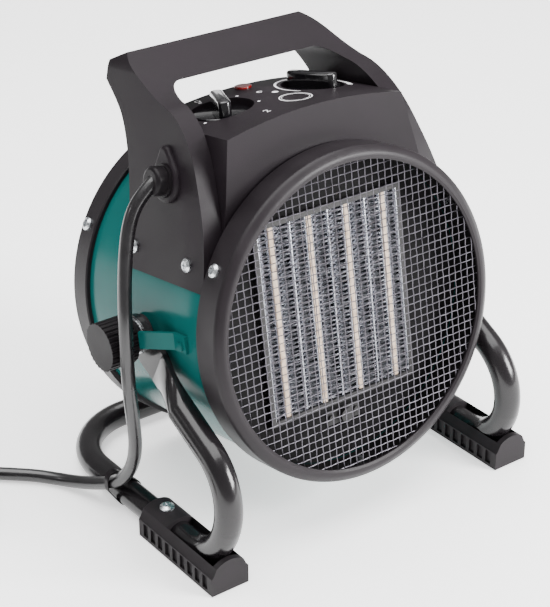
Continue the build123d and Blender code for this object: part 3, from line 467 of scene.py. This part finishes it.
# ---------------------------------------------------------------- control knobs
well_floor = 111.6
knob_x = 32.0
knob_depth = 68.0
knob_r = 17.0
knob_top_r = 16.2
disc_height = 3.2
bar_size = (7.4, 33.0, 9.6)
bar_base = 3.0
knob_rise = 0.4
for name, side, turn in (("switch_knob", -1, -25), ("thermostat_knob", 1, 19)):
    knob = bmesh.new()
    disc = bmesh.ops.create_cone(knob, cap_ends=True, segments=96, radius1=knob_r * MM,
                                 radius2=knob_top_r * MM, depth=disc_height * MM)["verts"]
    bmesh.ops.translate(knob, vec=(0, 0, disc_height / 2 * MM), verts=disc)
    rims = [edge for edge in knob.edges if edge.is_manifold and edge.calc_face_angle(0) > 1]
    bmesh.ops.bevel(knob, geom=rims, offset=0.6 * MM, segments=3, profile=0.5, affect="EDGES", material=-1)
    bar = bmesh.ops.create_cube(knob, size=1.0)["verts"]
    bmesh.ops.scale(knob, vec=[length * MM for length in bar_size], verts=bar)
    bmesh.ops.translate(knob, vec=(0, 0, (bar_base + bar_size[2] / 2) * MM), verts=bar)
    bar_edges = list({edge for vert in bar for edge in vert.link_edges})
    upright = [edge for edge in bar_edges if abs((edge.verts[0].co - edge.verts[1].co).normalized().z) > 0.9]
    bmesh.ops.bevel(knob, geom=upright, offset=3.4 * MM, segments=6, profile=0.5, affect="EDGES", material=-1)
    bar_top = (bar_base + bar_size[2] - 0.2) * MM
    top = [edge for edge in knob.edges if min(vert.co.z for vert in edge.verts) > bar_top]
    bmesh.ops.bevel(knob, geom=top, offset=1.3 * MM, segments=3, profile=0.5, affect="EDGES", material=-1)
    seat = panel_frame(side * knob_x, knob_depth, well_floor + knob_rise)
    place = seat @ Matrix.Rotation(radians(turn), 4, "Z")
    bmesh.ops.transform(knob, matrix=place, verts=knob.verts)
    piece_of(knob, name + "_turned", abs_gloss, name, [name], 30)

# ---------------------------------------------------------------- print on the control panel
crown_r = (61.0 ** 2 + 6.4 ** 2) / (2 * 6.4)


def panel_height(x):
    """How high the crowned panel stands at a place sideways."""
    return 119.0 - crown_r + sqrt(crown_r ** 2 - x ** 2) + 0.06


def printed_arc(shape, x, depth, radius, widths, start, end):
    """A printed band round a place on the panel, which may swell along its way."""
    steps = max(8, int(abs(end - start) / 4))
    grid = bmesh.ops.create_grid(shape, x_segments=steps, y_segments=1, size=0.5)["verts"]
    for vert in grid:
        along = vert.co.x + 0.5
        width = widths[0] + (widths[1] - widths[0]) * along
        reach = radius + vert.co.y * width
        bearing = radians(start + (end - start) * along)
        side = x + reach * cos(bearing)
        vert.co = at(side, depth + reach * sin(bearing), panel_height(side))


# A swelling arc round the thermostat knob, a plain double ring, two small marks and the switch positions
dot_ring = 21.3
print_shape = bmesh.new()
printed_arc(print_shape, knob_x, knob_depth, 21.6, (0.7, 3.0), 215, -35)
printed_arc(print_shape, 3.5, 46, 9.2, (0.7, 0.7), 0, 360)
printed_arc(print_shape, 3.5, 46, 7.9, (0.3, 0.3), 0, 360)
printed_arc(print_shape, -1.0, 74, 1.5, (0.8, 0.8), 0, 290)
printed_arc(print_shape, 4.0, 66, 1.0, (1.9, 1.9), 0, 360)
for bearing in (-120, -60, 0, 60, 120):
    spot = radians(bearing + 90)
    printed_arc(print_shape, -knob_x + dot_ring * cos(spot), knob_depth + dot_ring * sin(spot), 0.45,
                (0.85, 0.85), 0, 360)
piece_of(print_shape, "panel_print", white_ink, "heater")

for digit, x, depth in (("0", -31.0, 93.0), ("1", -53.5, 80.0), ("2", -23.0, 37.0)):
    text = bpy.data.curves.new("dial_digit_" + digit, "FONT")
    text.body = digit
    text.size = 6.5 * MM
    text.align_x = "CENTER"
    text.align_y = "CENTER"
    holder = bpy.data.objects.new("dial_digit_" + digit, text)
    bpy.context.collection.objects.link(holder)
    mesh = mesh_of(holder)
    bpy.data.objects.remove(holder)
    shape = bmesh.new()
    shape.from_mesh(mesh)
    for vert in shape.verts:
        side = x + vert.co.x / MM
        vert.co = at(side, depth + vert.co.y / MM, panel_height(side))
    piece_of(shape, "dial_mark_" + digit, white_ink, "heater")

# ---------------------------------------------------------------- floor and light
# The floor gives out a little light of its own, so that it stays pale round the dark object
floor_shape = bpy.data.meshes.new("studio_floor")
grid = bmesh.new()
bmesh.ops.create_grid(grid, x_segments=1, y_segments=1, size=6.0)
grid.to_mesh(floor_shape)
grid.free()
floor = bpy.data.objects.new("studio_floor", floor_shape)
floor.location = (0, 0, -0.0004)
bpy.context.collection.objects.link(floor)
paper = finish_of("white_paper", "#F4F4F4", "#F7F7F7", 300, 5, 0.05, 0.8, Specular_IOR_Level=0.0,
                  Emission_Color=(1.0, 1.0, 1.0, 1.0), Emission_Strength=0.9)
floor_shape.materials.append(paper)

world = bpy.data.worlds.new("studio_world")
world.use_nodes = True
world.node_tree.nodes["Background"].inputs["Color"].default_value = (1.0, 1.0, 1.0, 1.0)
world.node_tree.nodes["Background"].inputs["Strength"].default_value = 0.4
bpy.context.scene.world = world


def softbox(name, place, target, size, power):
    """A square studio light that faces a point."""
    lamp = bpy.data.lights.new(name, "AREA")
    lamp.shape = "SQUARE"
    lamp.size = size
    lamp.energy = power
    holder = bpy.data.objects.new(name, lamp)
    holder.location = place
    holder.rotation_euler = (Vector(place) - Vector(target)).to_track_quat("Z", "Y").to_euler()
    bpy.context.collection.objects.link(holder)


softbox("front_box", (0.9, -1.3, 0.75), (0, 0, 0.12), 0.7, 70)
softbox("left_box", (-1.5, 0.5, 0.9), (0, 0, 0.12), 0.2, 1.6)
softbox("top_box", (0.0, 0.1, 2.0), (0, 0, 0), 2.4, 120)
